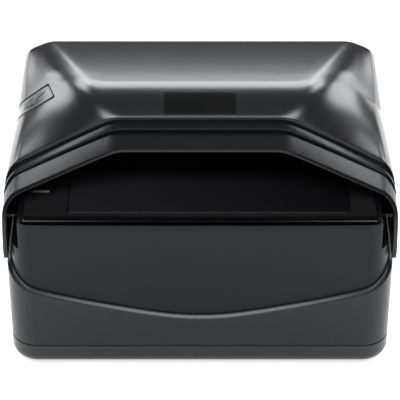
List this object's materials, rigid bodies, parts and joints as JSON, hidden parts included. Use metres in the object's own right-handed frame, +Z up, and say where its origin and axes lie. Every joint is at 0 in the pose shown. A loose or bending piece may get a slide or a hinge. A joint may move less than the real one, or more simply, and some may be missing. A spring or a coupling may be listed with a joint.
{
  "type": "passport reader",
  "caption": "Desktop passport reader: a rounded base with a dark document window on its deck, under a lofted hinged hood with a stepped arched rim and a push button.",
  "frame": {"origin": "middle of the bounding box on the floor plane, under the rubber feet", "axes": "+X to the right seen from the front, +Y to the back, +Z up; the hood opens towards the front at -Y"},
  "size_m": [0.1866, 0.134, 0.1314],
  "materials": {
    "charcoal": "satin, fine moulded grain",
    "deck_black": "semi-gloss",
    "glass_black": "polished dark glass",
    "rubber": "matt",
    "inner_black": "matt",
    "board_green": "solder mask",
    "milky": "satin diffuser",
    "steel": "plated"
  },
  "bodies": {
    "base": {"bottom_tray": "charcoal", "lower_housing": "charcoal", "upper_housing": "charcoal", "deck_plate": "deck_black", "platen_glass": "glass_black", "platen_gasket": "rubber", "foot_front_left": "rubber", "foot_front_right": "rubber", "foot_rear_left": "rubber", "foot_rear_right": "rubber", "hood_stop_left": "rubber", "hood_stop_right": "rubber", "optical_chamber": "inner_black", "camera_lens": "inner_black", "power_jack": "inner_black", "camera_board": "board_green", "light_board_left": "board_green", "light_board_right": "board_green", "antenna_board": "board_green", "main_board": "board_green", "light_diffuser_left": "milky", "light_diffuser_right": "milky", "status_lens": "milky", "usb_socket": "steel", "case_screw_front_left": "steel", "case_screw_front_right": "steel", "case_screw_rear_left": "steel", "case_screw_rear_right": "steel", "bracket_screw_1": "steel", "bracket_screw_2": "steel", "bracket_screw_3": "steel", "bracket_screw_4": "steel", "hinge_bracket_left": "steel", "hinge_bracket_right": "steel", "hinge_pin_left": "steel", "hinge_pin_right": "steel", "friction_washer_left": "steel", "friction_washer_right": "steel"},
    "hood": {"hood_shell": "charcoal", "hood_plate": "deck_black", "button_board": "board_green", "button_spring": "steel"},
    "button": {"button_cap": "charcoal"}
  },
  "joints": [
    {"name": "hood_hinge", "type": "hinge", "parent": "base", "child": "hood", "pos_m": [0, 0.0604, 0.0925], "axis": [-1, 0, 0], "range_deg": [0, 75]},
    {"name": "button_press", "type": "slide", "parent": "hood", "child": "button", "axis": [0.6287, 0.2079, -0.7493], "range_m": [0, 0.0008], "stiffness_N_per_m": 400, "springref_m": -0.001, "deforming": ["button_spring"]}
  ]
}
